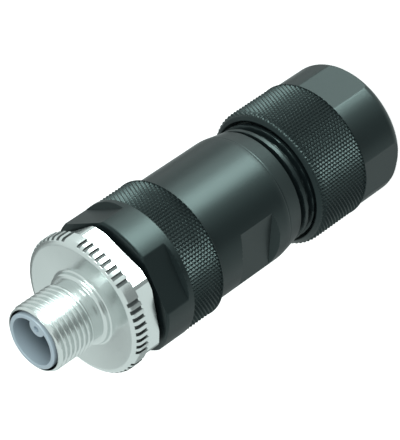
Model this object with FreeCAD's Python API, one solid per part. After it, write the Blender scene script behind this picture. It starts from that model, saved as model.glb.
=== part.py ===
import FreeCAD, Part
import math
import os

# Straight cable connector with a size 12 coupling screw, standing on the rear face of its gland nut.
# Millimetres. +Z is the connector's own axis and points at the mating end. Azimuths are in degrees from +X.

# Clearances
RUNNING = 0.05          # radial gap of a turning or screwed fit
SEATED = 0.03           # gap between pieces that are pressed or laid together
FREE = 0.3              # gap between pieces that move past each other
PAST = 1.0              # how far a cutting solid runs on beyond the surface that it cuts

# Edges
SMALL_EDGE = 0.3
FINE_EDGE = 0.15

# The radius over both knurled grips sets the housing's own radii. The coupling thread and what is inside it
# are the standard's and don't follow it.
BODY_RADIUS = 12.785
REACH = 2 * BODY_RADIUS

# Cable passage
CABLE_HOLE_RADIUS = 0.528 * BODY_RADIUS
THROAT_RADIUS = CABLE_HOLE_RADIUS + 0.15

# Gland nut
NUT_LENGTH = 21.4
NUT_REAR_RADIUS = BODY_RADIUS - 0.335
NUT_REAR_LENGTH = 0.4673 * NUT_LENGTH
NUT_REAR_ROUNDING = 2.0
NUT_HOLE_ROUNDING = 0.8
NUT_GRIP_END = NUT_LENGTH - 0.8
NUT_GRIP_ROUNDING = 1.75
NUT_ACROSS_FLATS = 1.838 * BODY_RADIUS
NUT_FLAT_AZIMUTH = 36.1
NUT_FLOOR = 3.0

# Gland thread, given by its crest, and the gap that shows while the nut is not yet tight
GLAND_THREAD_RADIUS = 0.8526 * BODY_RADIUS
GLAND_THREAD_LENGTH = 0.701 * NUT_LENGTH
GLAND_THREAD_CHAMFER = 0.7
GLAND_GAP = 3.3
NUT_FRONT_RADIUS = GLAND_THREAD_RADIUS + 0.7
NUT_MOUTH_CHAMFER = 0.5
NUT_THREAD_RELIEF = 0.2

# Housing
HOUSING_LENGTH = 20.8
HOUSING_RADIUS = 0.921 * BODY_RADIUS
HOUSING_REAR_RADIUS = GLAND_THREAD_RADIUS + 0.15
HOUSING_TAPER_LENGTH = 3.8
HOUSING_TAPER_ROUNDING = 8.0
HOUSING_ACROSS_FLATS = 1.6066 * BODY_RADIUS
HOUSING_FLAT_AZIMUTH = 126.1
HOUSING_FLAT_START = 0.3125 * HOUSING_LENGTH        # from the housing's rear shoulder
HOUSING_FLAT_LENGTH = 0.399 * HOUSING_LENGTH
CHAMBER_RADIUS = 0.7196 * BODY_RADIUS
MOUTH_RADIUS = 0.657 * BODY_RADIUS
SEAL_SEAT_DEPTH = 2.7           # from the rear shoulder back to the face the seal lies on
SLEEVE_SEAT_DEPTH = 2.3         # from the rear shoulder forward to the face the spacer sleeve lies on
SLEEVE_SEAT_WIDTH = 1.0

# Front collar
COLLAR_LENGTH = 13.1
COLLAR_GRIP_LENGTH = 0.5267 * COLLAR_LENGTH
COLLAR_RIM_LENGTH = 1.0
COLLAR_ACROSS_FLATS = 1.8303 * BODY_RADIUS
COLLAR_FLAT_AZIMUTH = -19.2
COLLAR_FRONT_ROUNDING = 1.0
COLLAR_REAR_ROUNDING = 0.5
SPIGOT_RADIUS = 0.7665 * BODY_RADIUS
SPIGOT_LENGTH = 5.8
SPIGOT_CHAMFER = 0.4
SPIGOT_RELIEF = 0.2
COLLAR_BORE_RADIUS = 0.5866 * BODY_RADIUS
NOSE_RADIUS = 0.7196 * BODY_RADIUS
NOSE_LENGTH = 4.8
NOSE_WALL = 1.6
NOSE_CHAMFER = 0.5

# Coupling screw
SCREW_GAP = 0.7                 # between the collar's front edge and the hexagon
FLANGE_RADIUS = BODY_RADIUS - 0.235
FLANGE_LENGTH = 2.75
FLANGE_ROUNDING = 1.1
FACE_DISH = 0.1
HEX_ACROSS_CORNERS = 2 * FLANGE_RADIUS - 0.2        # the corners are turned off
HEX_ACROSS_FLATS = HEX_ACROSS_CORNERS - 3.0
HEX_LENGTH = 3.4
HEX_CHAMFER = 0.75              # inwards from the corners
HEX_CHAMFER_LENGTH = 0.43
HEX_FLAT_AZIMUTH = 19.65
NOTCHES_PER_FLAT = 8
NOTCH_PITCH = 6.2               # degrees
NOTCH_WIDTH = 0.65
NOTCH_FLOOR_RADIUS = FLANGE_RADIUS - 0.4            # outside the hexagon, and out through the front rounding
THREAD_RADIUS = 6.0
THREAD_LENGTH = 7.2
LEAD_IN_RADIUS = THREAD_RADIUS - 0.3
LEAD_IN_LENGTH = 0.7
BOSS_RADIUS = THREAD_RADIUS + 0.55
BOSS_HEIGHT = 1.05
BOSS_ROUNDING = 0.25
NECK_RADIUS = THREAD_RADIUS - 0.5
NECK_LENGTH = 1.6
SCREW_MOUTH_WIDTH = 0.4
SCREW_MOUTH_LENGTH = 0.6

# Contact carrier
SHROUD_RADIUS = THREAD_RADIUS - 0.95
SHROUD_BORE_RADIUS = SHROUD_RADIUS - 0.75
SHROUD_PROUD = 0.5              # beyond the coupling screw's end
SHROUD_ROUNDING = 0.2
SOCKET_DEPTH = 9.9
KEY_AZIMUTH = 19.0
KEY_WIDTH = 3.2
KEY_REACH = 1.8
KEY_SETBACK = 0.3               # of the key's web from the shroud's outside
KEY_RECESS_RADIUS = 0.55
KEY_RECESS_DEPTH = 1.5
KEY_RECESS_OFFSET = 0.35        # from the middle of the key's round nose towards the axis
CARRIER_FLANGE_LENGTH = 5.8
CARRIER_BODY_RADIUS = COLLAR_BORE_RADIUS - 0.5
CARRIER_BODY_LENGTH = 6.0

# Contacts
PIN_COUNT = 3                   # line contacts; one earth contact makes the circle up to four
PIN_RADIUS = 0.75
PIN_CIRCLE_RADIUS = SHROUD_BORE_RADIUS - 1.4
PIN_REACH = 4.1                 # above the socket's floor
PIN_TIP_ROUNDING = 0.5
EARTH_LEAD = 0.5                # the earth contact meets first
PIN_STOP_RADIUS = 1.15
PIN_STOP_LENGTH = 1.5
PIN_TAIL_RADIUS = PIN_RADIUS - 0.1
PIN_TAIL_LENGTH = 12.4          # behind the carrier's rear face
PIN_IN_CLAMP = 2.4

# Terminals
BLOCK_LENGTH = 18.8
BLOCK_RADIUS = COLLAR_BORE_RADIUS - 0.2
BLOCK_FLANGE_RADIUS = CHAMBER_RADIUS - 0.2
BLOCK_FLANGE_LENGTH = 1.4
CLAMP_WIDTH = 3.2
CLAMP_LENGTH = 8.0
CLAMP_INNER_RADIUS = CLAMP_WIDTH / 2 + 0.2
CLAMP_OUTER_RADIUS = BLOCK_RADIUS - 0.9
WIRE_HOLE_RADIUS = 1.3
WIRE_HOLE_CENTRE = PIN_CIRCLE_RADIUS + 0.5
WIRE_HOLE_DEPTH = 5.6
TERMINAL_SCREW_RADIUS = 1.2
TERMINAL_SCREW_LENGTH = 2.6
TERMINAL_SCREW_SETBACK = 3.4    # from the clamp's rear face
TERMINAL_SCREW_PROUD = 0.3
DRIVER_SLOT_WIDTH = 0.5
DRIVER_SLOT_DEPTH = 0.7

# Seals and rings
SEAL_LENGTH = 0.3458 * NUT_LENGTH
SEAL_BORE_RADIUS = CABLE_HOLE_RADIUS + 0.05
CORD_RING_RADIUS = 0.62         # section of the ring between the housing and the collar
CARRIER_RING_RADIUS = 0.68      # section of the ring round the carrier
RING_WIDTH = 1.0
RING_DEPTH = 1.2
RING_SPLIT = 3.0
RING_SPLIT_AZIMUTH = 200.0
SLEEVE_WALL = 0.8

# Clamping cage
CAGE_SEAL_GAP = 2.1             # left for tightening
CAGE_RING_LENGTH = 3.1
CAGE_RING_RADIUS = MOUTH_RADIUS - FREE
CAGE_BORE_RADIUS = CABLE_HOLE_RADIUS + 0.1
CAGE_TIP_RADIUS = CAGE_RING_RADIUS - 0.7
CAGE_TIP_GAP = 0.5              # from the nut's floor
CAGE_CONE_LENGTH = 1.8
CAGE_SLOT_COUNT = 12
CAGE_SLOT_AZIMUTH = 15.0
CAGE_SLOT_WIDTH = 0.8
CAGE_SLOT_RUNON = 0.4           # into the ring
RIB_COUNT = 4
RIB_WIDTH = 1.6
RIB_RADIUS = MOUTH_RADIUS + 0.35
RIB_INSET = 0.4                 # of the rib's root from the cage's bore
RIB_SETBACK = 0.6               # of the rib from the ring's rear

# Levels along the axis
SHOULDER_Z = NUT_LENGTH + GLAND_GAP
THREAD_END_Z = SHOULDER_Z - GLAND_THREAD_LENGTH
SEAL_SEAT_Z = SHOULDER_Z - SEAL_SEAT_DEPTH
COLLAR_Z = SHOULDER_Z + HOUSING_LENGTH
COLLAR_FRONT_Z = COLLAR_Z + COLLAR_LENGTH
NOSE_Z = COLLAR_FRONT_Z + NOSE_LENGTH
CARRIER_SEAT_Z = NOSE_Z - NOSE_WALL
HEX_Z = COLLAR_FRONT_Z + SCREW_GAP
FLANGE_Z = HEX_Z + HEX_LENGTH
FACE_Z = FLANGE_Z + FLANGE_LENGTH
BOSS_Z = FACE_Z - FACE_DISH + BOSS_HEIGHT
THREAD_Z = BOSS_Z + NECK_LENGTH
SCREW_END_Z = THREAD_Z + THREAD_LENGTH + LEAD_IN_LENGTH
RIM_Z = SCREW_END_Z + SHROUD_PROUD
SOCKET_FLOOR_Z = RIM_Z - SOCKET_DEPTH
CARRIER_REAR_Z = CARRIER_SEAT_Z - CARRIER_FLANGE_LENGTH - CARRIER_BODY_LENGTH
BLOCK_Z = CARRIER_REAR_Z - BLOCK_LENGTH
SLEEVE_SEAT_Z = SHOULDER_Z + SLEEVE_SEAT_DEPTH
CAGE_FRONT_Z = SEAL_SEAT_Z - SEAL_LENGTH - CAGE_SEAL_GAP
CAGE_RING_Z = CAGE_FRONT_Z - CAGE_RING_LENGTH
CAGE_TIP_Z = NUT_FLOOR + CAGE_TIP_GAP

# Seat of the ring between the housing and the collar
RING_SEAT_DEPTH = 1.8
RING_SEAT_RADIUS = SPIGOT_RADIUS + 0.8
RING_NECK_RADIUS = RING_SEAT_RADIUS - 2 * CORD_RING_RADIUS - 2 * SEATED
# Groove round the carrier for its own ring
CARRIER_GROOVE_RADIUS = COLLAR_BORE_RADIUS - 2 * CARRIER_RING_RADIUS - 2 * SEATED
CARRIER_GROOVE_SETBACK = 1.9
CARRIER_GROOVE_Z = CARRIER_SEAT_Z - CARRIER_GROOVE_SETBACK
# Snap ring between the collar's nose and the coupling screw
SNAP_RING_SETBACK = 2.0
SNAP_GROOVE_DEPTH = 0.7
SNAP_RING_Z = COLLAR_FRONT_Z + SNAP_RING_SETBACK
SNAP_GROOVE_RADIUS = NOSE_RADIUS - SNAP_GROOVE_DEPTH
# Anti-rotation key of the carrier and the terminal block
KEYWAY_RADIUS = COLLAR_BORE_RADIUS + 0.8
KEYWAY_WIDTH = 2.2
KEYWAY_END_GAP = 0.2
LUG_LENGTH = 2.0

ORIGIN = FreeCAD.Vector(0, 0, 0)
UP = FreeCAD.Vector(0, 0, 1)


def point(radius, z):
    return FreeCAD.Vector(radius, 0, z)


def turned(outline):
    """Solid of revolution. Each corner is (radius, z) or (radius, z, rounding)."""
    corners = [(point(c[0], c[1]), c[2] if len(c) > 2 else 0.0) for c in outline]
    starts, ends = [], []
    for i, (here, rounding) in enumerate(corners):
        before = (corners[i - 1][0] - here).normalize()
        after = (corners[(i + 1) % len(corners)][0] - here).normalize()
        reach = rounding / math.tan(before.getAngle(after) / 2) if rounding else 0.0
        starts.append(here + before * reach)
        ends.append(here + after * reach)
    edges = []
    for i, (here, rounding) in enumerate(corners):
        if rounding:
            middle_way = ((starts[i] + ends[i]) * 0.5 - here).normalize()
            half_angle = (starts[i] - here).getAngle(ends[i] - here) / 2
            middle = here + middle_way * (rounding / math.sin(half_angle) - rounding)
            edges.append(Part.Arc(starts[i], middle, ends[i]).toShape())
        following = starts[(i + 1) % len(corners)]
        if (following - ends[i]).Length > 1e-6:
            edges.append(Part.LineSegment(ends[i], following).toShape())
    face = Part.Face(Part.Wire(edges))
    return face.revolve(ORIGIN, UP, 360)


def rod(radius, low, high):
    return Part.makeCylinder(radius, high - low, FreeCAD.Vector(0, 0, low), UP)


def tube(inner, outer, low, high):
    return rod(outer, low, high).cut(rod(inner, low - PAST, high + PAST))


def block(near, far, width, low, high, azimuth):
    """Box from radius near to radius far, centred on an azimuth."""
    box = Part.makeBox(far - near, width, high - low, FreeCAD.Vector(near, -width / 2, low))
    return turn(box, azimuth)


def turn(shape, azimuth):
    copy = shape.copy()
    copy.rotate(ORIGIN, UP, azimuth)
    return copy


def at_radius(shape, radius, azimuth):
    copy = shape.copy()
    copy.translate(FreeCAD.Vector(radius, 0, 0))
    return turn(copy, azimuth)


def around(shape, count, first=0.0):
    return [turn(shape, first + k * 360.0 / count) for k in range(count)]


def flats(across, count, azimuth, low, high):
    """Material that lies outside a set of wrench flats."""
    return around(block(across / 2, REACH, 2 * REACH, low, high, 0), count, azimuth)


def ring(centre_radius, section_radius, z):
    return Part.makeTorus(centre_radius, section_radius, FreeCAD.Vector(0, 0, z), UP)


def gland_nut():
    bore = GLAND_THREAD_RADIUS + RUNNING
    bore_z = THREAD_END_Z - CAGE_SEAL_GAP - NUT_THREAD_RELIEF
    tip = CAGE_TIP_RADIUS + RUNNING
    cage_room = CAGE_RING_RADIUS + RUNNING
    outline = [
        (CABLE_HOLE_RADIUS, 0, NUT_HOLE_ROUNDING),
        (NUT_REAR_RADIUS, 0, NUT_REAR_ROUNDING),
        (NUT_REAR_RADIUS, NUT_REAR_LENGTH),
        (BODY_RADIUS, NUT_REAR_LENGTH),
        (BODY_RADIUS, NUT_GRIP_END, NUT_GRIP_ROUNDING),
        (NUT_FRONT_RADIUS, NUT_LENGTH, SMALL_EDGE),
        (bore + NUT_MOUTH_CHAMFER, NUT_LENGTH),
        (bore, NUT_LENGTH - NUT_MOUTH_CHAMFER),
        (bore, bore_z),
        (cage_room, bore_z),
        (cage_room, CAGE_TIP_Z + CAGE_CONE_LENGTH),
        (tip, CAGE_TIP_Z),
        (tip, NUT_FLOOR),
        (CABLE_HOLE_RADIUS, NUT_FLOOR),
    ]
    return turned(outline).cut(flats(NUT_ACROSS_FLATS, 4, NUT_FLAT_AZIMUTH, -PAST, NUT_REAR_LENGTH))


def clamping_cage():
    outline = [
        (CAGE_BORE_RADIUS, CAGE_TIP_Z, SMALL_EDGE),
        (CAGE_TIP_RADIUS, CAGE_TIP_Z, FINE_EDGE),
        (CAGE_RING_RADIUS, CAGE_TIP_Z + CAGE_CONE_LENGTH),
        (CAGE_RING_RADIUS, CAGE_FRONT_Z),
        (CAGE_BORE_RADIUS, CAGE_FRONT_Z),
    ]
    slot = block(0, REACH, CAGE_SLOT_WIDTH, CAGE_TIP_Z - PAST, CAGE_RING_Z + CAGE_SLOT_RUNON, 0)
    rib = block(CAGE_BORE_RADIUS + RIB_INSET, RIB_RADIUS, RIB_WIDTH, CAGE_RING_Z + RIB_SETBACK,
                CAGE_FRONT_Z, 0)
    slots = around(slot, CAGE_SLOT_COUNT, CAGE_SLOT_AZIMUTH)
    return turned(outline).fuse(around(rib, RIB_COUNT)).cut(slots)


def cable_seal():
    outline = [
        (SEAL_BORE_RADIUS, SEAL_SEAT_Z - SEAL_LENGTH, SMALL_EDGE),
        (MOUTH_RADIUS - SEATED, SEAL_SEAT_Z - SEAL_LENGTH, SMALL_EDGE),
        (MOUTH_RADIUS - SEATED, SEAL_SEAT_Z, SMALL_EDGE),
        (SEAL_BORE_RADIUS, SEAL_SEAT_Z, SMALL_EDGE),
    ]
    return turned(outline)


def housing():
    socket = SPIGOT_RADIUS + SEATED
    spigot_seat_z = COLLAR_Z - SPIGOT_LENGTH - SPIGOT_RELIEF
    outline = [
        (MOUTH_RADIUS, THREAD_END_Z),
        (GLAND_THREAD_RADIUS - GLAND_THREAD_CHAMFER, THREAD_END_Z),
        (GLAND_THREAD_RADIUS, THREAD_END_Z + GLAND_THREAD_CHAMFER),
        (GLAND_THREAD_RADIUS, SHOULDER_Z),
        (HOUSING_REAR_RADIUS, SHOULDER_Z),
        (HOUSING_RADIUS, SHOULDER_Z + HOUSING_TAPER_LENGTH, HOUSING_TAPER_ROUNDING),
        (HOUSING_RADIUS, COLLAR_Z, FINE_EDGE),
        (RING_SEAT_RADIUS, COLLAR_Z),
        (RING_SEAT_RADIUS, COLLAR_Z - RING_SEAT_DEPTH),
        (socket, COLLAR_Z - RING_SEAT_DEPTH),
        (socket, spigot_seat_z),
        (CHAMBER_RADIUS, spigot_seat_z),
        (CHAMBER_RADIUS, SLEEVE_SEAT_Z),
        (CHAMBER_RADIUS - SLEEVE_SEAT_WIDTH, SLEEVE_SEAT_Z),
        (THROAT_RADIUS, SHOULDER_Z),
        (THROAT_RADIUS, SEAL_SEAT_Z),
        (MOUTH_RADIUS, SEAL_SEAT_Z),
    ]
    flat_z = SHOULDER_Z + HOUSING_FLAT_START
    cuts = flats(HOUSING_ACROSS_FLATS, 2, HOUSING_FLAT_AZIMUTH, flat_z, flat_z + HOUSING_FLAT_LENGTH)
    way = block(CABLE_HOLE_RADIUS, RIB_RADIUS + FREE, RIB_WIDTH + 2 * FREE, THREAD_END_Z - PAST,
                CAGE_FRONT_Z + CAGE_SEAL_GAP + KEYWAY_END_GAP, 0)
    return turned(outline).cut(cuts + around(way, RIB_COUNT))


def spacer_sleeve():
    outer = CHAMBER_RADIUS - SEATED
    return tube(outer - SLEEVE_WALL, outer, SLEEVE_SEAT_Z, BLOCK_Z)


def housing_o_ring():
    centre = (RING_SEAT_RADIUS + RING_NECK_RADIUS) / 2
    return ring(centre, CORD_RING_RADIUS, COLLAR_Z - RING_SEAT_DEPTH / 2)


def front_collar():
    grip_end = COLLAR_Z + COLLAR_GRIP_LENGTH
    flat_z = grip_end + COLLAR_RIM_LENGTH
    spigot_z = COLLAR_Z - SPIGOT_LENGTH
    groove_low = SNAP_RING_Z - SEATED
    groove_high = SNAP_RING_Z + RING_WIDTH + SEATED
    outline = [
        (COLLAR_BORE_RADIUS, spigot_z),
        (SPIGOT_RADIUS - SPIGOT_CHAMFER, spigot_z),
        (SPIGOT_RADIUS, spigot_z + SPIGOT_CHAMFER),
        (SPIGOT_RADIUS, COLLAR_Z - RING_SEAT_DEPTH),
        (RING_NECK_RADIUS, COLLAR_Z - RING_SEAT_DEPTH),
        (RING_NECK_RADIUS, COLLAR_Z),
        (BODY_RADIUS, COLLAR_Z, COLLAR_REAR_ROUNDING),
        (BODY_RADIUS, COLLAR_FRONT_Z, COLLAR_FRONT_ROUNDING),
        (NOSE_RADIUS, COLLAR_FRONT_Z),
        (NOSE_RADIUS, groove_low),
        (SNAP_GROOVE_RADIUS, groove_low),
        (SNAP_GROOVE_RADIUS, groove_high),
        (NOSE_RADIUS, groove_high),
        (NOSE_RADIUS, NOSE_Z - NOSE_CHAMFER),
        (NOSE_RADIUS - NOSE_CHAMFER, NOSE_Z),
        (SHROUD_RADIUS + RUNNING, NOSE_Z),
        (SHROUD_RADIUS + RUNNING, CARRIER_SEAT_Z),
        (COLLAR_BORE_RADIUS, CARRIER_SEAT_Z),
    ]
    cuts = flats(COLLAR_ACROSS_FLATS, 4, COLLAR_FLAT_AZIMUTH, flat_z, COLLAR_FRONT_Z)
    # The flats stop at the nose, which stays round
    keep = rod(NOSE_RADIUS, flat_z - PAST, COLLAR_FRONT_Z + PAST)
    lug_end_z = CARRIER_SEAT_Z - CARRIER_FLANGE_LENGTH + LUG_LENGTH
    keyway = block(CARRIER_BODY_RADIUS, KEYWAY_RADIUS, KEYWAY_WIDTH, spigot_z - PAST,
                   lug_end_z + KEYWAY_END_GAP, KEY_AZIMUTH)
    return turned(outline).cut([c.cut(keep) for c in cuts]).cut(keyway)


def retaining_ring():
    inner = SNAP_GROOVE_RADIUS + SEATED
    band = tube(inner, inner + RING_DEPTH, SNAP_RING_Z, SNAP_RING_Z + RING_WIDTH)
    split = block(0, REACH, RING_SPLIT, SNAP_RING_Z - PAST, SNAP_RING_Z + RING_WIDTH + PAST,
                  RING_SPLIT_AZIMUTH)
    return band.cut(split)


def coupling_screw():
    bearing = NOSE_RADIUS + RUNNING
    bore = SHROUD_RADIUS + RUNNING
    ring_room = SNAP_GROOVE_RADIUS + SEATED + RING_DEPTH + FREE
    room_low = SNAP_RING_Z - FREE
    room_high = SNAP_RING_Z + RING_WIDTH + FREE
    corner = HEX_ACROSS_CORNERS / 2
    outline = [
        (bearing, HEX_Z),
        (corner - HEX_CHAMFER, HEX_Z),
        (corner, HEX_Z + HEX_CHAMFER_LENGTH),
        (corner, FLANGE_Z),
        (FLANGE_RADIUS, FLANGE_Z),
        (FLANGE_RADIUS, FACE_Z, FLANGE_ROUNDING),
        (BOSS_RADIUS, FACE_Z - FACE_DISH, SMALL_EDGE),
        (BOSS_RADIUS, BOSS_Z, BOSS_ROUNDING),
        (NECK_RADIUS, BOSS_Z),
        (NECK_RADIUS, THREAD_Z),
        (THREAD_RADIUS, THREAD_Z + THREAD_RADIUS - NECK_RADIUS),
        (THREAD_RADIUS, SCREW_END_Z - LEAD_IN_LENGTH),
        (LEAD_IN_RADIUS, SCREW_END_Z),
        (bore + SCREW_MOUTH_WIDTH, SCREW_END_Z),
        (bore, SCREW_END_Z - SCREW_MOUTH_LENGTH),
        (bore, NOSE_Z + FREE),
        (bearing, NOSE_Z + FREE),
        (bearing, room_high),
        (ring_room, room_high),
        (ring_room, room_low),
        (bearing, room_low),
    ]
    body = turned(outline)
    sides = flats(HEX_ACROSS_FLATS, 6, HEX_FLAT_AZIMUTH, HEX_Z - PAST, FLANGE_Z)
    notch = block(NOTCH_FLOOR_RADIUS, REACH, NOTCH_WIDTH, FLANGE_Z, FACE_Z, 0)
    notches = []
    for side in range(6):
        for step in range(NOTCHES_PER_FLAT):
            offset = (step - (NOTCHES_PER_FLAT - 1) / 2) * NOTCH_PITCH
            notches.append(turn(notch, HEX_FLAT_AZIMUTH + 60 * side + offset))
    return body.cut(sides).cut(notches)


def pin_azimuths():
    return [KEY_AZIMUTH + 45 + 90 * k for k in range(PIN_COUNT + 1)]


def contact_carrier():
    flange_radius = COLLAR_BORE_RADIUS - SEATED
    flange_z = CARRIER_SEAT_Z - CARRIER_FLANGE_LENGTH
    groove_half = CARRIER_RING_RADIUS + SEATED
    outline = [
        (0, CARRIER_REAR_Z),
        (CARRIER_BODY_RADIUS, CARRIER_REAR_Z),
        (CARRIER_BODY_RADIUS, flange_z),
        (flange_radius, flange_z),
        (flange_radius, CARRIER_GROOVE_Z - groove_half),
        (CARRIER_GROOVE_RADIUS, CARRIER_GROOVE_Z - groove_half),
        (CARRIER_GROOVE_RADIUS, CARRIER_GROOVE_Z + groove_half),
        (flange_radius, CARRIER_GROOVE_Z + groove_half),
        (flange_radius, CARRIER_SEAT_Z),
        (SHROUD_RADIUS, CARRIER_SEAT_Z),
        (SHROUD_RADIUS, RIM_Z, SHROUD_ROUNDING),
        (SHROUD_BORE_RADIUS, RIM_Z, FINE_EDGE),
        (SHROUD_BORE_RADIUS, SOCKET_FLOOR_Z),
        (0, SOCKET_FLOOR_Z),
    ]
    half = KEY_WIDTH / 2
    nose_centre = SHROUD_BORE_RADIUS - KEY_REACH + half
    key = rod(half, SOCKET_FLOOR_Z, RIM_Z)
    key.translate(FreeCAD.Vector(nose_centre, 0, 0))
    web_radius = SHROUD_RADIUS - KEY_SETBACK
    web = block(nose_centre, web_radius, KEY_WIDTH, SOCKET_FLOOR_Z, RIM_Z, 0)
    coding = key.fuse(web).common(rod(web_radius, SOCKET_FLOOR_Z, RIM_Z))
    recess = rod(KEY_RECESS_RADIUS, RIM_Z - KEY_RECESS_DEPTH, RIM_Z + PAST)
    recess.translate(FreeCAD.Vector(nose_centre - KEY_RECESS_OFFSET, 0, 0))
    lug = block(CARRIER_BODY_RADIUS - PAST, KEYWAY_RADIUS - SEATED, KEYWAY_WIDTH - 2 * SEATED,
                flange_z, flange_z + LUG_LENGTH, KEY_AZIMUTH)
    shaft = rod(PIN_RADIUS, CARRIER_SEAT_Z - PAST, SOCKET_FLOOR_Z + PAST)
    counterbore = rod(PIN_STOP_RADIUS, CARRIER_REAR_Z - PAST, CARRIER_SEAT_Z)
    holes = []
    for azimuth in pin_azimuths():
        holes.append(at_radius(shaft, PIN_CIRCLE_RADIUS, azimuth))
        holes.append(at_radius(counterbore, PIN_CIRCLE_RADIUS, azimuth))
    body = turned(outline).fuse([turn(coding, KEY_AZIMUTH), lug])
    return body.cut(holes + [turn(recess, KEY_AZIMUTH)]).removeSplitter()


def carrier_o_ring():
    centre = CARRIER_GROOVE_RADIUS + SEATED + CARRIER_RING_RADIUS
    return ring(centre, CARRIER_RING_RADIUS, CARRIER_GROOVE_Z)


def pin(azimuth, lead):
    tip_z = SOCKET_FLOOR_Z + PIN_REACH + lead
    stop_z = CARRIER_SEAT_Z
    tail_z = CARRIER_REAR_Z - PIN_TAIL_LENGTH
    stop = PIN_STOP_RADIUS - SEATED
    outline = [
        (0, tail_z),
        (PIN_TAIL_RADIUS, tail_z, FINE_EDGE),
        (PIN_TAIL_RADIUS, stop_z - PIN_STOP_LENGTH),
        (stop, stop_z - PIN_STOP_LENGTH),
        (stop, stop_z),
        (PIN_RADIUS, stop_z),
        (PIN_RADIUS, tip_z, PIN_TIP_ROUNDING),
        (0, tip_z),
    ]
    return at_radius(turned(outline), PIN_CIRCLE_RADIUS, azimuth)


def clamp_levels():
    top = CARRIER_REAR_Z - PIN_TAIL_LENGTH + PIN_IN_CLAMP
    return top - CLAMP_LENGTH, top


def terminal_block():
    low, high = clamp_levels()
    body = rod(BLOCK_RADIUS, BLOCK_Z, CARRIER_REAR_Z)
    flange = rod(BLOCK_FLANGE_RADIUS, BLOCK_Z, BLOCK_Z + BLOCK_FLANGE_LENGTH)
    lug = block(BLOCK_RADIUS - PAST, KEYWAY_RADIUS - SEATED, KEYWAY_WIDTH - 2 * SEATED,
                COLLAR_Z - SPIGOT_LENGTH, CARRIER_REAR_Z - LUG_LENGTH, KEY_AZIMUTH)
    cuts = []
    driver = Part.makeCylinder(TERMINAL_SCREW_RADIUS + FREE, REACH,
                               FreeCAD.Vector(CLAMP_OUTER_RADIUS, 0, 0), FreeCAD.Vector(1, 0, 0))
    for azimuth in pin_azimuths():
        cuts.append(block(CLAMP_INNER_RADIUS - SEATED, CLAMP_OUTER_RADIUS + SEATED,
                          CLAMP_WIDTH + 2 * SEATED, BLOCK_Z - PAST, high + SEATED, azimuth))
        cuts.append(at_radius(rod(PIN_TAIL_RADIUS + SEATED, high, CARRIER_REAR_Z + PAST),
                              PIN_CIRCLE_RADIUS, azimuth))
        way = driver.copy()
        way.translate(FreeCAD.Vector(0, 0, low + TERMINAL_SCREW_SETBACK))
        cuts.append(turn(way, azimuth))
    return body.fuse([flange, lug]).cut(cuts)


def wire_clamp(azimuth):
    low, high = clamp_levels()
    body = block(CLAMP_INNER_RADIUS, CLAMP_OUTER_RADIUS, CLAMP_WIDTH, low, high, 0)
    wire = rod(WIRE_HOLE_RADIUS, low - PAST, low + WIRE_HOLE_DEPTH)
    wire.translate(FreeCAD.Vector(WIRE_HOLE_CENTRE, 0, 0))
    tail = rod(PIN_TAIL_RADIUS + SEATED, low + WIRE_HOLE_DEPTH - PAST, high + PAST)
    tail.translate(FreeCAD.Vector(PIN_CIRCLE_RADIUS, 0, 0))
    tapped = Part.makeCylinder(TERMINAL_SCREW_RADIUS + SEATED, REACH,
                               FreeCAD.Vector(WIRE_HOLE_CENTRE, 0, low + TERMINAL_SCREW_SETBACK),
                               FreeCAD.Vector(1, 0, 0))
    return turn(body.cut([wire, tail, tapped]), azimuth)


def terminal_screws():
    low, high = clamp_levels()
    end = CLAMP_OUTER_RADIUS + TERMINAL_SCREW_PROUD
    shank = Part.makeCylinder(TERMINAL_SCREW_RADIUS, TERMINAL_SCREW_LENGTH,
                              FreeCAD.Vector(end - TERMINAL_SCREW_LENGTH, 0, low + TERMINAL_SCREW_SETBACK),
                              FreeCAD.Vector(1, 0, 0))
    slot = block(end - DRIVER_SLOT_DEPTH, end + PAST, DRIVER_SLOT_WIDTH, low, high, 0)
    screw = shank.cut(slot)
    return Part.makeCompound([turn(screw, azimuth) for azimuth in pin_azimuths()])


def save(name, shape):
    shape.exportStep(os.path.join("parts", name + ".step"))
    print(name, "solids", len(shape.Solids), "valid", shape.isValid(), "volume", round(shape.Volume, 2))


def main():
    os.makedirs("parts", exist_ok=True)
    for make in (gland_nut, clamping_cage, cable_seal, housing, spacer_sleeve, housing_o_ring, front_collar,
                 retaining_ring, coupling_screw, contact_carrier, carrier_o_ring, terminal_block,
                 terminal_screws):
        save(make.__name__, make())
    for number, azimuth in enumerate(pin_azimuths(), 1):
        earth = number > PIN_COUNT
        save("pin_earth" if earth else "pin_%d" % number, pin(azimuth, EARTH_LEAD if earth else 0.0))
        save("wire_clamp_%d" % number, wire_clamp(azimuth))


main()
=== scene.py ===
import math

import bpy
import numpy as np
from mathutils import Matrix, Vector


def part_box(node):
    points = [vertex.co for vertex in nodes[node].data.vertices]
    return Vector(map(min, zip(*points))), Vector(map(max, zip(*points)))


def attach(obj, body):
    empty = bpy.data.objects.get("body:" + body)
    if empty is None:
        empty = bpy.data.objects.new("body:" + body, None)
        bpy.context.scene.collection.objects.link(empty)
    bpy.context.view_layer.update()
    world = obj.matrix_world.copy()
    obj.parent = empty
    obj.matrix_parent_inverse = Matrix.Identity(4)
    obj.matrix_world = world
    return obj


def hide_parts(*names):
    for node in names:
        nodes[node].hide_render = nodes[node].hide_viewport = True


# Straight cable connector, size 12. Blender units are metres, and profiles are written in millimetres.
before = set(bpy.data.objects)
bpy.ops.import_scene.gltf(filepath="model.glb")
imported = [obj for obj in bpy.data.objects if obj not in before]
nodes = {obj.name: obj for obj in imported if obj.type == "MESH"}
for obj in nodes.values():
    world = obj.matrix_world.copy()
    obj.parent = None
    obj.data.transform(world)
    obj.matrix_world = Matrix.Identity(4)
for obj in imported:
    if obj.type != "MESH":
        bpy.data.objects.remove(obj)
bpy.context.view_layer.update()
mm = 0.001


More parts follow.
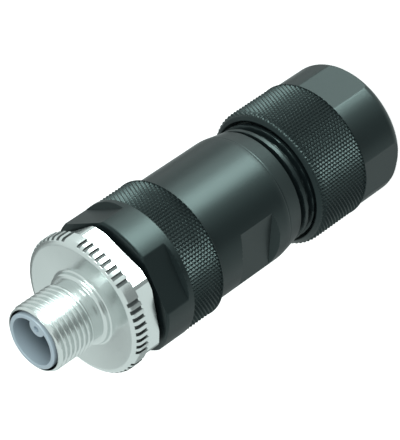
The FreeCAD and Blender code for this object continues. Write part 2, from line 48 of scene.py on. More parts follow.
def levels(node):
    # lowest and highest z of a CAD node, in millimetres
    low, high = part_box(node)
    return low.z / mm, high.z / mm


nutRear, nutFront = levels("gland_nut")
threadRear, housingFront = levels("housing")
collarRear, noseFront = levels("front_collar")
hexRear, screwFront = levels("coupling_screw")
print("frame loaded")

# Surfaces

surfaceSteps = {
    "arcSteps": 5,          # fewest straight pieces in a rounding
    "arcPiece": 0.15,       # and their greatest length in millimetres
    "sharpAngle": 27.0,     # degrees between two faces from which their edge stays sharp
    "edgeRun": 0.12,        # millimetres beside an edge that carry its shading
    "hairline": 0.015,      # millimetres between the two rows of a wall
    "touch": 0.001,         # millimetres by which a row may miss a level that it stands at
    "near": 0.01,           # and by which it may miss a radius
    "same": 1e-5,           # millimetres or radians under which two rows or columns count as one
}
hairline, touch, near = surfaceSteps["hairline"], surfaceSteps["touch"], surfaceSteps["near"]


def roundedPath(corners):
    # Corners are (radius, z, rounding, step). The closed path runs straight between them, and each rounding
    # is an arc that touches both sides. A step cuts the side after the corner into pieces of that length. A
    # longer side without one gets a row close to each of its ends, which keeps its shading flat.
    rows = [tuple(c) + (0.0,) * (4 - len(c)) for c in corners]
    spots = np.array([r[:2] for r in rows], float)
    before = np.roll(spots, 1, axis=0) - spots
    after = np.roll(spots, -1, axis=0) - spots
    before /= np.linalg.norm(before, axis=1)[:, None]
    after /= np.linalg.norm(after, axis=1)[:, None]
    half = np.arccos(np.clip((before * after).sum(1), -1, 1)) / 2
    reach = np.array([r[2] for r in rows]) / np.tan(half)
    starts = spots + before * reach[:, None]
    ends = spots + after * reach[:, None]
    path = []
    for i, (radius, z, rounding, step) in enumerate(rows):
        if rounding > 0:
            middle = before[i] + after[i]
            centre = spots[i] + middle / np.linalg.norm(middle) * rounding / math.sin(half[i])
            a, b = starts[i] - centre, ends[i] - centre
            side = math.copysign(1.0, a[0] * b[1] - a[1] * b[0])
            sweep = math.pi - 2 * half[i]
            pieces = max(surfaceSteps["arcSteps"], int(rounding * sweep / surfaceSteps["arcPiece"]))
            angles = side * np.linspace(0, sweep, pieces + 1)
            path.extend(centre + np.stack([a[0] * np.cos(angles) - a[1] * np.sin(angles),
                                           a[0] * np.sin(angles) + a[1] * np.cos(angles)], 1))
        else:
            path.append(spots[i])
        target = starts[(i + 1) % len(rows)]
        length = np.linalg.norm(target - ends[i])
        if step > 0:
            parts = max(1, int(round(length / step)))
            share = np.arange(1, parts) / parts
        elif length > 4 * surfaceSteps["edgeRun"]:
            share = np.array([surfaceSteps["edgeRun"], length - surfaceSteps["edgeRun"]]) / length
        else:
            share = np.zeros(0)
        path.extend(ends[i] + (target - ends[i]) * share[:, None])
    path = np.array(path)
    keep = np.linalg.norm(path - np.roll(path, 1, axis=0), axis=1) > surfaceSteps["same"]
    return path[keep]


def turnedSkin(path, columns, shape=None, knurlStart=None, knurlCells=1):
    # The point at azimuth a and path station s is (r cos a, r sin a, z): r and z are read from the path, and
    # shape(a, r, z) then changes a and r. The grid closes on itself both ways, so that no border is left.
    # shape may also return a mark from 0 to 1, how dark the material paints a point as shade in a recess.
    # columns is a number of even ones or an array of azimuths. Cells are split along one diagonal, and from
    # row knurlStart on along the one that runs with the knurl's grooves.
    angles = columns if isinstance(columns, np.ndarray) else np.arange(columns) * 2 * math.pi / columns
    marks = []
    a = np.repeat(angles[None, :], len(path), axis=0)
    r = np.repeat(path[:, :1], len(angles), axis=1)
    z = np.repeat(path[:, 1:], len(angles), axis=1)
    if shape is not None:
        a, r, *marks = shape(a, r, z)
    points = np.stack([r * np.cos(a), r * np.sin(a), z], -1).reshape(-1, 3)
    recess = marks[0].ravel() if marks else np.zeros(len(points))
    index = np.arange(points.shape[0]).reshape(len(path), len(angles))
    right = np.roll(index, -1, axis=1)
    up = np.roll(index, -1, axis=0)
    rightUp = np.roll(right, -1, axis=0)
    first = np.stack([index, right, rightUp], -1)
    second = np.stack([index, rightUp, up], -1)
    if knurlStart is not None:
        row = np.arange(len(path))[:, None] - knurlStart
        column = np.arange(len(angles))[None, :]
        half = knurlCells / 2
        falling = ((row % knurlCells < half) == (column % knurlCells < half))[..., None]
        first = np.where(falling, np.stack([index, right, up], -1), first)
        second = np.where(falling, np.stack([right, rightUp, up], -1), second)
    faces = np.concatenate([first.reshape(-1, 3), second.reshape(-1, 3)])
    # all faces are turned over if the enclosed volume comes out negative
    volume = (np.cross(points[faces[:, 0]], points[faces[:, 1]]) * points[faces[:, 2]]).sum()
    return points, faces if volume > 0 else faces[:, ::-1], recess


def makePiece(name, skins, body, slotName, material, *replaced):
    count = 0
    allPoints, allFaces, allMarks = [], [], []
    for points, faces, recess in skins:
        allPoints.append(points * mm)
        allFaces.append(faces + count)
        allMarks.append(recess)
        count += len(points)
    points, faces, recess = np.vstack(allPoints), np.vstack(allFaces), np.concatenate(allMarks)
    mesh = bpy.data.meshes.new(name)
    mesh.vertices.add(len(points))
    mesh.vertices.foreach_set("co", points.astype(np.float32).ravel())
    mesh.loops.add(faces.size)
    mesh.loops.foreach_set("vertex_index", faces.astype(np.int32).ravel())
    mesh.polygons.add(len(faces))
    mesh.polygons.foreach_set("loop_start", np.arange(0, faces.size, 3, dtype=np.int32))
    # mark of painted shade in recesses, read by the metal's material
    if recess.any():
        layer = mesh.attributes.new("recess", "FLOAT", "POINT")
        layer.data.foreach_set("value", recess.astype(np.float32))
    mesh.update(calc_edges=True)
    mesh.validate()
    mesh.shade_smooth()
    mesh.set_sharp_from_angle(angle=math.radians(surfaceSteps["sharpAngle"]))
    piece = bpy.data.objects.new(name, mesh)
    bpy.context.scene.collection.objects.link(piece)
    mesh.materials.append(material)
    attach(piece, body)
    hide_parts(*replaced)
    print(name, len(faces), "triangles")


def toNearest(a, count, azimuth):
    # angle from a to the nearest of count directions that stand evenly round the axis from azimuth
    pitch = 2 * math.pi / count
    return np.mod(a - math.radians(azimuth) + pitch / 2, pitch) - pitch / 2


def cutFlats(a, r, across, count, azimuth, zone):
    # Wrench flats: r becomes the smaller of itself and (across / 2) / cos(angle to the flat's middle), where
    # across is one width or an array of widths. The column nearest to each end of a flat is moved on to it,
    # so that the edge is straight and clean.
    away = toNearest(a, count, azimuth)
    limit = across / 2
    edge = np.arccos(np.minimum(limit / r, 1))
    step = 2 * math.pi / a.shape[1]
    miss = np.abs(away) - edge
    a = np.where(zone & (np.abs(miss) < step / 2) & (edge > step), a - np.sign(away) * miss, a)
    away = toNearest(a, count, azimuth)
    return a, np.where(zone, np.minimum(r, limit / np.cos(away)), r)


def rampedWidth(s, inner):
    # Width across the flats at the distance inner from their end: a straight ramp, centred on the end, leads
    # from the full diameter to the flats' own width. Also tells where it cuts at all.
    fall = np.clip((inner + s["flatRamp"]) / (2 * s["flatRamp"]), 0, 1)
    return 2 * s["radius"] + (s["acrossFlats"] - 2 * s["radius"]) * fall, fall > 0


def wave(u):
    # triangle wave: 0 at whole numbers, 1 halfway between
    return 1 - np.abs(2 * np.mod(u, 1) - 1)


def cutKnurl(a, radius, z, low, high, knurl):
    # Points stand staggered over the grip. The height falls away from the nearest one as the larger of
    # |x cos 30 + z sin 30| and |x cos 30 - z sin 30|, so that V grooves part each from its four neighbours.
    # x is the way round and z the way along. The knurl runs out over a short length at each end of the band.
    # The result is the radius at each point.
    x = knurl["diamonds"] * a / (2 * math.pi)
    rise = (z - low) / knurl["pitch"]
    width = 2 * math.pi * radius / knurl["diamonds"]
    falls = []
    for shift in (0, 0.5):
        dx = (x + shift - np.round(x + shift)) * width * math.cos(math.pi / 6)
        dz = (rise + shift - np.round(rise + shift)) * knurl["pitch"] / 2
        falls.append(np.maximum(np.abs(dx + dz), np.abs(dx - dz)))
    fall = np.minimum(falls[0], falls[1]) / (knurl["pitch"] / 2)
    inside = np.clip((z - low) / knurl["runOut"], 0, 1) * np.clip((high - z) / knurl["runOut"], 0, 1)
    return radius - knurl["depth"] * np.minimum(fall, 1) * inside


knurlLook = {
    "diamonds": 66,         # points round the grip, in each of the two staggered rings
    "pitch": 0.70,          # along the axis, in millimetres
    "depth": 0.36,
    "runOut": 0.12,
    "cells": 6,             # mesh cells from point to point, each way
}
knurlColumns = knurlLook["diamonds"] * knurlLook["cells"]
knurlCell = knurlLook["pitch"] / knurlLook["cells"]


def bandStart(path, z, radius):
    # row of the path at which a knurl band begins, where a miss in radius counts ten times
    radiusWeight = 10
    return int(np.argmin(np.abs(path[:, 1] - z) + np.abs(path[:, 0] - radius) * radiusWeight))


# Materials


def linearColor(hexCode):
    values = [int(hexCode[i:i + 2], 16) / 255 for i in (1, 3, 5)]
    return [v / 12.92 if v <= 0.04045 else ((v + 0.055) / 1.055) ** 2.4 for v in values] + [1.0]


def addNode(tree, kind, settings=None, inputs=None, links=None):
    # one node with its properties, its socket values and its incoming links
    node = tree.nodes.new(kind)
    for key, value in (settings or {}).items():
        setattr(node, key, value)
    for key, value in (inputs or {}).items():
        node.inputs[key].default_value = value
    for key, source in (links or {}).items():
        tree.links.new(source, node.inputs[key])
    return node


def newMaterial(name):
    material = bpy.data.materials.new(name)
    material.use_nodes = True
    tree = material.node_tree
    shader = tree.nodes["Principled BSDF"]
    place = addNode(tree, "ShaderNodeTexCoord").outputs["Object"]
    return material, tree, shader, place


finishSteps = {
    "grainHeight": 0.3,         # bump height of a moulded grain, as a share of its size
    "lineHeight": 0.5,          # and of a tool line, as a share of the spacing
    "recessRoughness": 0.55,    # added to the roughness where a skin marks a recess
}


def cloudyTone(tree, place, look, detail):
    # base colour that drifts between two near shades in soft clouds, look["cloud"] millimetres wide
    cloud = addNode(tree, "ShaderNodeTexNoise", None,
                    {"Scale": 1 / (look["cloud"] * mm), "Detail": detail, "Roughness": 0.5},
                    {"Vector": place})
    return addNode(tree, "ShaderNodeMix", {"data_type": "RGBA"},
                   {"A": linearColor(look["dark"]), "B": linearColor(look["light"])},
                   {"Factor": cloud.outputs["Fac"]})


def satinGrain(tree, shader, place, look, size, height):
    # Fine grain of the given size in metres: it stands out by the given height, and the roughness swings
    # with it by look["spread"]. The swinging roughness is returned.
    grain = addNode(tree, "ShaderNodeTexNoise", None, {"Scale": 1 / size, "Detail": 2.0, "Roughness": 0.6},
                    {"Vector": place})
    bump = addNode(tree, "ShaderNodeBump", None, {"Strength": look["bump"], "Distance": height},
                   {"Height": grain.outputs["Fac"]})
    tree.links.new(bump.outputs["Normal"], shader.inputs["Normal"])
    low, high = look["roughness"] - look["spread"], look["roughness"] + look["spread"]
    return addNode(tree, "ShaderNodeMapRange", None, {"To Min": low, "To Max": high},
                   {"Value": grain.outputs["Fac"]})


def mouldedPlastic(name, look):
    # Injection-moulded plastic: the tool's spark-eroded grain gives a satin sheen, with slow cloudy changes
    # of tone where the melt flowed. The grain is drawn coarser than the real one, so that it shows.
    material, tree, shader, place = newMaterial(name)
    tone = cloudyTone(tree, place, look, 3.0)
    if "socketShade" in look:
        # painted shade: the base colour darkens from one height down to the other, as shade does inside a
        # hollow
        height = addNode(tree, "ShaderNodeSeparateXYZ", None, None, {"Vector": place}).outputs["Z"]
        level = addNode(tree, "ShaderNodeMapRange", None,
                        {"From Min": look["shadeEnd"] * mm, "From Max": look["shadeStart"] * mm},
                        {"Value": height})
        tone = addNode(tree, "ShaderNodeMix", {"data_type": "RGBA"}, {"A": linearColor(look["socketShade"])},
                       {"Factor": level.outputs["Result"], "B": tone.outputs["Result"]})
    tree.links.new(tone.outputs["Result"], shader.inputs["Base Color"])
    size = look["grain"] * mm
    sheen = satinGrain(tree, shader, place, look, size, size * finishSteps["grainHeight"])
    tree.links.new(sheen.outputs["Result"], shader.inputs["Roughness"])
    shader.inputs["IOR"].default_value = look["ior"]
    shader.inputs["Specular IOR Level"].default_value = look["shine"]
    shader.inputs["Specular Tint"].default_value = linearColor(look["shineColor"])
    return material


def platedMetal(name, look):
    # Machined metal, plated or bare: fine tool lines, look["lines"] millimetres apart and drawn out along
    # the cut by look["stretch"], give a satin shine with a slow change of tone. Where a skin marks a recess,
    # the base colour is painted dark as shade and the metal is duller, because little light finds its way
    # in.
    material, tree, shader, place = newMaterial(name)
    stretched = addNode(tree, "ShaderNodeMapping", None, {"Scale": look["stretch"]}, {"Vector": place})
    tone = cloudyTone(tree, place, look, 2.0)
    size = look["lines"] * mm
    sheen = satinGrain(tree, shader, stretched.outputs["Vector"], look, size,
                       size * finishSteps["lineHeight"])
    # painted shade: where a skin marks a recess, the base colour goes dark and the roughness rises
    recess = addNode(tree, "ShaderNodeAttribute", {"attribute_name": "recess"}).outputs["Fac"]
    paintedShadeTone = addNode(tree, "ShaderNodeMix", {"data_type": "RGBA"}, {"B": linearColor(look["recess"])},
                     {"Factor": recess, "A": tone.outputs["Result"]})
    tree.links.new(paintedShadeTone.outputs["Result"], shader.inputs["Base Color"])
    rough = addNode(tree, "ShaderNodeMath", {"operation": "MULTIPLY_ADD"},
                    {1: finishSteps["recessRoughness"]}, {0: recess, 2: sheen.outputs["Result"]})
    tree.links.new(rough.outputs[0], shader.inputs["Roughness"])
    shader.inputs["Metallic"].default_value = 1.0
    return material


# glass-filled body plastic: near black with a soft cool shine along the edges and grips
blackPolyamide = mouldedPlastic("black glass-filled polyamide, moulded", {
    "dark": "#101618", "light": "#151c1e", "cloud": 9.0, "grain": 0.12, "roughness": 0.36, "spread": 0.05,
    "bump": 0.12, "ior": 1.53, "shine": 0.35, "shineColor": "#e0fdfa"})
# unfilled inner parts: dark grey with a smooth sheen
greyPolyamide = mouldedPlastic("dark grey polyamide, moulded", {
    "dark": "#33393b", "light": "#3d4446", "cloud": 6.0, "grain": 0.1, "roughness": 0.42, "spread": 0.05,
    "bump": 0.1, "ior": 1.53, "shine": 0.5, "shineColor": "#ffffff"})
# contact insert: light blue-grey and satin, with painted shade darkening it towards the socket's bottom
bluePolyester = mouldedPlastic("blue-grey thermoplastic polyester, moulded", {
    "dark": "#c0cedb", "light": "#ccd9e4", "cloud": 5.0, "grain": 0.08, "roughness": 0.36, "spread": 0.05,
    "bump": 0.1, "ior": 1.55, "shine": 0.5, "shineColor": "#ffffff",
    "socketShade": "#5b6873", "shadeStart": 76.2, "shadeEnd": 71.6})
# terminal block: plain mid grey with a dull sheen
terminalPolyamide = mouldedPlastic("grey polyamide, moulded", {
    "dark": "#7c8488", "light": "#8b9397", "cloud": 5.0, "grain": 0.1, "roughness": 0.45, "spread": 0.05,
    "bump": 0.1, "ior": 1.53, "shine": 0.5, "shineColor": "#ffffff"})
# seals: black and matt, with almost no shine
nitrileRubber = mouldedPlastic("black nitrile rubber, moulded", {
    "dark": "#17191a", "light": "#1f2122", "cloud": 4.0, "grain": 0.06, "roughness": 0.6, "spread": 0.08,
    "bump": 0.2, "ior": 1.52, "shine": 0.4, "shineColor": "#ffffff"})
# coupling screw: bright silver with broad soft reflections, and painted shade that blackens its recesses
nickelPlate = platedMetal("nickel-plated turned brass", {
    "dark": "#d0d5d4", "light": "#dbdfde", "cloud": 6.0, "lines": 0.05, "stretch": (0.05, 0.05, 1.0),
    "roughness": 0.24, "spread": 0.04, "bump": 0.08, "recess": "#141c1d"})
# contacts: warm yellow and clean
goldPlate = platedMetal("gold-plated turned brass", {
    "dark": "#d9b45a", "light": "#e6c571", "cloud": 3.0, "lines": 0.04, "stretch": (0.05, 0.05, 1.0),
    "roughness": 0.22, "spread": 0.04, "bump": 0.08, "recess": "#8a6f33"})
# wire clamps: duller yellow with visible cutter lines
milledBrass = platedMetal("bright milled brass", {
    "dark": "#b99a55", "light": "#c9ab66", "cloud": 3.0, "lines": 0.08, "stretch": (0.2, 1.0, 0.2),
    "roughness": 0.32, "spread": 0.06, "bump": 0.12, "recess": "#7a6638"})
# terminal screws: cool light grey
zincPlate = platedMetal("zinc-plated steel", {
    "dark": "#aeb4b8", "light": "#bfc5c9", "cloud": 2.0, "lines": 0.06, "stretch": (1.0, 0.2, 1.0),
    "roughness": 0.34, "spread": 0.06, "bump": 0.12, "recess": "#6f7578"})
# retaining ring: dark blue-grey with a low shine
springSteel = platedMetal("blued spring steel", {
    "dark": "#4b5055", "light": "#5a6066", "cloud": 4.0, "lines": 0.08, "stretch": (0.2, 0.2, 1.0),
    "roughness": 0.35, "spread": 0.05, "bump": 0.1, "recess": "#2f3438"})
print("materials made")

nodeFinish = {
    "gland_nut": blackPolyamide, "housing": blackPolyamide, "front_collar": blackPolyamide,
    "clamping_cage": greyPolyamide, "spacer_sleeve": greyPolyamide, "contact_carrier": bluePolyester,
    "terminal_block": terminalPolyamide, "coupling_screw": nickelPlate, "retaining_ring": springSteel,
    "cable_seal": nitrileRubber, "housing_o_ring": nitrileRubber, "carrier_o_ring": nitrileRubber,
    "terminal_screws": zincPlate,
}
for name, node in nodes.items():
    finish = nodeFinish.get(name)
    if finish is None:
        finish = goldPlate if name.startswith("pin") else milledBrass
    node.data.materials.clear()
    node.data.materials.append(finish)

# Gland nut

nutShape = {
    "rearRadius": 12.45, "rearRounding": 2.0, "rearEnd": 10.0, "gripRadius": 12.78, "frontRounding": 1.75,
    "frontRadius": 11.6, "mouthRounding": 0.1, "holeRadius": 6.75, "holeRounding": 0.8, "floor": 3.0,
    "acrossFlats": 23.5, "flats": 4, "flatAzimuth": 36.1, "threadRoot": 10.95, "mouthChamfer": 0.5,
    "boreEnd": 7.4, "cageRadius": 8.15, "tipRadius": 7.45, "coneStart": 3.5, "coneEnd": 5.3,
    "roundingStart": 83, "roundingRows": 12, "gripEnd": 21.05, "gripFade": 0.6,
}


def buildNut():
    s = nutShape
    # The knurl runs on over the front rounding, r = centre + sqrt(R^2 - (z - start)^2), and fades out there.
    # The rounding starts at a whole number of knurl cells, so that the rows stay even.
    start = s["rearEnd"] + s["roundingStart"] * knurlCell
    rise = np.arange(s["roundingRows"] + 1) * knurlCell
    arc = s["gripRadius"] - s["frontRounding"] + np.sqrt(s["frontRounding"] ** 2 - rise ** 2)
    corners = [
        (s["holeRadius"], nutRear, s["holeRounding"]),
        (s["rearRadius"], nutRear, s["rearRounding"]),
        (s["rearRadius"], s["rearEnd"]),
        (s["gripRadius"], s["rearEnd"], 0, knurlCell),
    ]
    corners += [(r, start + step) for r, step in zip(arc, rise)]
    corners += [
        (s["frontRadius"], nutFront, s["mouthRounding"]),
        (s["threadRoot"] + s["mouthChamfer"], nutFront),
        (s["threadRoot"], nutFront - s["mouthChamfer"]),
        (s["threadRoot"], s["boreEnd"]),
        (s["cageRadius"], s["boreEnd"]),
        (s["cageRadius"], s["coneEnd"]),
        (s["tipRadius"], s["coneStart"]),
        (s["tipRadius"], s["floor"]),
        (s["holeRadius"], s["floor"]),
    ]
    path = roundedPath(corners)

    def shape(a, r, z):
        outside = r > s["frontRadius"]
        rear = outside & (z < s["rearEnd"] + touch) & (r < s["gripRadius"] - near)
        a, r = cutFlats(a, r, s["acrossFlats"], s["flats"], s["flatAzimuth"], rear)
        grip = outside & (z > s["rearEnd"] - touch) & (z < s["gripEnd"]) & ~rear
        cut = r - cutKnurl(a, r, z, s["rearEnd"], nutFront, knurlLook)
        return a, np.where(grip, r - cut * np.clip((s["gripEnd"] - z) / s["gripFade"], 0, 1), r)

    first = bandStart(path, s["rearEnd"], s["gripRadius"])
    skin = turnedSkin(path, knurlColumns, shape, first, knurlLook["cells"])
    makePiece("glandNut", [skin], "gland_nut", "housing_plastic", blackPolyamide, "gland_nut")


buildNut()

# Housing with its gland thread

housingShape = {
    "columns": 264, "shoulder": 24.7, "shoulderRounding": 0.1, "radius": 11.775, "rearRadius": 11.05,
    "taperEnd": 28.5, "taperRounding": 8.0, "frontRounding": 0.15,
    "acrossFlats": 20.54, "flats": 2, "flatAzimuth": 126.1, "flatStart": 31.2, "flatEnd": 39.5,
    "flatRamp": 0.38, "rampStep": 0.09,
    "threadRadius": 10.9, "threadChamfer": 0.7, "threadRoot": 9.95, "threadPitch": 2.0, "threadPhase": 0.17,
    "threadSteepness": 3.0, "threadFade": 0.5, "rowsPerPitch": 24,
    "mouthRadius": 8.4, "throatRadius": 6.9, "sealSeat": 22.0, "chamberRadius": 9.2, "chamberRear": 27.0,
    "chamberStep": 1.0, "ringSeatRadius": 10.6, "ringSeatDepth": 1.8, "socketRadius": 9.83,
    "socketDepth": 6.0, "wayRadius": 9.05, "wayWidth": 2.2, "ways": 4, "wayEnd": 14.8,
    "lineZ": 28.0, "lineWidth": 0.15, "lineDepth": 0.04,
}


def cutThread(s, a, z, low, high):
    # Right-handed thread: the crest lies where z / pitch - a / (2 pi) - phase is a whole number and a half.
    # The flank is a triangle wave with cut tips, eased by t^2 (3 - 2t), and the groove deepens from low on,
    # over threadFade. The result is the radius at each point.
    u = wave(z / s["threadPitch"] - a / (2 * math.pi) - s["threadPhase"])
    t = np.clip((u - 0.5) * s["threadSteepness"] + 0.5, 0, 1)
    inside = np.clip((z - low) / s["threadFade"], 0, 1) * (z < high)
    return s["threadRadius"] - (s["threadRadius"] - s["threadRoot"]) * (1 - t * t * (3 - 2 * t)) * inside


def inWay(a, radius, width, count, azimuth):
    # true for the points that lie in one of count straight ways of the given width
    return np.abs(toNearest(a, count, azimuth)) < math.asin(width / 2 / radius)


def buildHousing():
    s = housingShape
    rowStep = s["threadPitch"] / s["rowsPerPitch"]
    path = roundedPath([
        (s["mouthRadius"], threadRear),
        (s["threadRadius"] - s["threadChamfer"], threadRear),
        (s["threadRadius"], threadRear + s["threadChamfer"], 0, rowStep),
        (s["threadRadius"], s["shoulder"] - hairline),
        (s["threadRadius"], s["shoulder"]),
        (s["rearRadius"], s["shoulder"], s["shoulderRounding"]),
        (s["radius"], s["taperEnd"], s["taperRounding"]),
        (s["radius"], s["flatStart"] - s["flatRamp"], 0, s["rampStep"]),
        (s["radius"], s["flatStart"] + s["flatRamp"]),
        (s["radius"], s["flatEnd"] - s["flatRamp"], 0, s["rampStep"]),
        (s["radius"], s["flatEnd"] + s["flatRamp"]),
        (s["radius"], housingFront, s["frontRounding"]),
        (s["ringSeatRadius"], housingFront),
        (s["ringSeatRadius"], housingFront - s["ringSeatDepth"]),
        (s["socketRadius"], housingFront - s["ringSeatDepth"]),
        (s["socketRadius"], housingFront - s["socketDepth"]),
        (s["chamberRadius"], housingFront - s["socketDepth"]),
        (s["chamberRadius"], s["chamberRear"]),
        (s["chamberRadius"] - s["chamberStep"], s["chamberRear"]),
        (s["throatRadius"], s["shoulder"]),
        (s["throatRadius"], s["sealSeat"]),
        (s["mouthRadius"], s["sealSeat"]),
        (s["mouthRadius"], s["wayEnd"] + hairline),
        (s["mouthRadius"], s["wayEnd"] - hairline),
    ])

    def shape(a, r, z):
        across, cuts = rampedWidth(s, np.minimum(z - s["flatStart"], s["flatEnd"] - z))
        a, r = cutFlats(a, r, across, s["flats"], s["flatAzimuth"], (r > s["radius"] - near) & cuts)
        # gland thread, up to the shoulder
        thread = (r > s["threadRadius"] - s["threadChamfer"] - near) & (r < s["threadRadius"] + near)
        cut = cutThread(s, a, z, threadRear, s["shoulder"] - hairline / 2)
        r = np.where(thread & (z < s["shoulder"] + touch), np.minimum(r, cut), r)
        # fine parting line round the end of the taper
        line = (r > s["rearRadius"]) & (np.abs(z - s["lineZ"]) < s["lineWidth"] / 2)
        r = np.where(line, r - s["lineDepth"], r)
        # straight ways in the rear mouth, in which the clamping cage slides
        way = inWay(a, s["mouthRadius"], s["wayWidth"], s["ways"], 0)
        way = way & (np.abs(r - s["mouthRadius"]) < touch) & (z < s["wayEnd"])
        return a, np.where(way, s["wayRadius"], r)

    skin = turnedSkin(path, s["columns"], shape)
    makePiece("housingBody", [skin], "housing", "housing_plastic", blackPolyamide, "housing")


buildHousing()

# Front collar

collarShape = {
    "radius": 12.785, "rearRounding": 0.12, "frontRounding": 0.4, "knurlPitches": 9.75, "rimEnd": 53.4,
    "acrossFlats": 23.4, "flats": 4, "flatAzimuth": -19.2, "flatRamp": 0.26, "rampStep": 0.07,
    "front": 58.6, "spigotRadius": 9.8, "spigotChamfer": 0.4,
    "ringNeckRadius": 9.3, "boreRadius": 7.5, "boreEnd": 61.8, "noseRadius": 9.2, "noseChamfer": 0.5,
    "grooveRadius": 8.5, "grooveStart": 60.57, "grooveEnd": 61.63, "shroudRadius": 5.1,
    "keywayAzimuth": 19.0, "keywayRadius": 8.3, "keywayWidth": 2.2, "keywayEnd": 58.2,
}


def buildCollar():
    s = collarShape
    rear = housingFront
    knurlStart = rear + s["rearRounding"]
    knurlEnd = knurlStart + s["knurlPitches"] * knurlLook["pitch"]
    path = roundedPath([
        (s["boreRadius"], collarRear),
        (s["spigotRadius"] - s["spigotChamfer"], collarRear),
        (s["spigotRadius"], collarRear + s["spigotChamfer"]),
        (s["spigotRadius"], rear - housingShape["ringSeatDepth"]),
        (s["ringNeckRadius"], rear - housingShape["ringSeatDepth"]),
        (s["ringNeckRadius"], rear),
        (s["radius"], rear, s["rearRounding"]),
        (s["radius"], knurlStart + touch, 0, knurlCell),
        (s["radius"], knurlEnd),
        (s["radius"], s["rimEnd"] - s["flatRamp"], 0, s["rampStep"]),
        (s["radius"], s["rimEnd"] + s["flatRamp"]),
        (s["radius"], s["front"], s["frontRounding"]),
        (s["noseRadius"], s["front"]),
        (s["noseRadius"], s["grooveStart"]),
        (s["grooveRadius"], s["grooveStart"]),
        (s["grooveRadius"], s["grooveEnd"]),
        (s["noseRadius"], s["grooveEnd"]),
        (s["noseRadius"], noseFront - s["noseChamfer"]),
        (s["noseRadius"] - s["noseChamfer"], noseFront),
        (s["shroudRadius"], noseFront),
        (s["shroudRadius"], s["boreEnd"]),
        (s["boreRadius"], s["boreEnd"]),
        (s["boreRadius"], s["keywayEnd"] + hairline),
        (s["boreRadius"], s["keywayEnd"] - hairline),
    ])

    def shape(a, r, z):
        across, cuts = rampedWidth(s, z - s["rimEnd"])
        zone = cuts & (z < s["front"] + touch) & (r > s["noseRadius"] + near)
        a, r = cutFlats(a, r, across, s["flats"], s["flatAzimuth"], zone)
        grip = (r > s["radius"] - near) & (z > knurlStart) & (z < knurlEnd + touch)
        r = np.where(grip, cutKnurl(a, r, z, knurlStart, knurlEnd, knurlLook), r)
        # one keyway in the bore, for the contact carrier
        way = inWay(a, s["boreRadius"], s["keywayWidth"], 1, s["keywayAzimuth"])
        keyway = way & (np.abs(r - s["boreRadius"]) < touch) & (z < s["keywayEnd"])
        return a, np.where(keyway, s["keywayRadius"], r)

    first = bandStart(path, knurlStart, s["radius"])
    skin = turnedSkin(path, knurlColumns, shape, first, knurlLook["cells"])
    makePiece("frontCollar", [skin], "housing", "housing_plastic", blackPolyamide, "front_collar")


buildCollar()

# Coupling screw: hexagon, notched flange and boss in one skin, threaded barrel in the other

screwShape = {
    "acrossFlats": 21.9, "sides": 6, "flatAzimuth": 19.65, "cornerRadius": 12.45, "hexEnd": 62.7,
    "chamferIn": 0.75, "chamferLength": 0.43, "chamferStep": 0.07,
    "flangeRadius": 12.55, "flangeRounding": 1.1, "face": 65.45, "dish": 0.3,
    "notchFloor": 12.15, "notchWidth": 0.65, "notchShade": 0.84, "notchesPerFlat": 8, "notchPitch": 6.2,
    "bossRadius": 6.55, "bossFoot": 0.3, "bossRounding": 0.65, "bossTop": 66.4,
    "bearingRadius": 9.25, "bearingEnd": 63.7, "grooveRadius": 10.03, "grooveStart": 60.3, "grooveEnd": 61.9,
    "columns": 240, "neckRadius": 5.5, "neckLap": 0.05, "neckDepth": 1.0,
    "threadStart": 68.0, "threadRadius": 6.0, "threadRoot": 5.39, "threadPitch": 1.0, "threadPhase": 0.0,
    "threadSteepness": 1.3, "threadFade": 0.5, "rowsPerPitch": 16,
    "leadInRadius": 5.7, "leadInLength": 0.7, "leadInRounding": 0.1, "leadInWall": 0.3,
    "boreRadius": 5.1, "mouthWidth": 0.4, "mouthLength": 0.6,
}

headLook = {
    "hair": 0.03,                                   # degrees between a notch wall and the columns beside it
    "lands": (0.36, 0.5, 0.64),                     # columns between two notches, as shares of their pitch
    "corner": (0.2, 0.6, 1.0, 1.6, 2.4, 3.2),       # columns round a turned corner, in half widths of it
}


def headColumns(s):
    # Azimuths of the head's columns: seven at each notch, three of them close to each wall, a few on the
    # lands between, and a few round the hexagon's turned corners. The notches' middles, their half width and
    # the distance of the columns at a wall are returned too, all as angles.
    sides = np.arange(s["sides"]) * 2 * math.pi / s["sides"]
    pitch = math.radians(s["notchPitch"])
    places = (np.arange(s["notchesPerFlat"]) - (s["notchesPerFlat"] - 1) / 2) * pitch
    middles = (math.radians(s["flatAzimuth"]) + sides[:, None] + places).ravel()
    half = math.asin(s["notchWidth"] / 2 / s["notchFloor"])
    hair = math.radians(headLook["hair"])
    wall = np.array([half - hair, half + hair, half + 2 * hair])
    walls = np.concatenate([-wall, [0], wall])
    lands = pitch * np.array(headLook["lands"])
    corners = math.radians(s["flatAzimuth"] + 180 / s["sides"]) + sides
    reach = math.pi / s["sides"] - math.acos(s["acrossFlats"] / 2 / s["cornerRadius"])
    turned = np.array(headLook["corner"]) * reach
    spread = [(middles, walls), (middles, lands), (corners, turned), (corners, -turned)]
    angles = np.concatenate([(base[:, None] + offset).ravel() for base, offset in spread])
    angles = np.sort(np.mod(angles, 2 * math.pi))
    return angles[np.append(np.diff(angles) > surfaceSteps["same"], True)], middles, half, hair


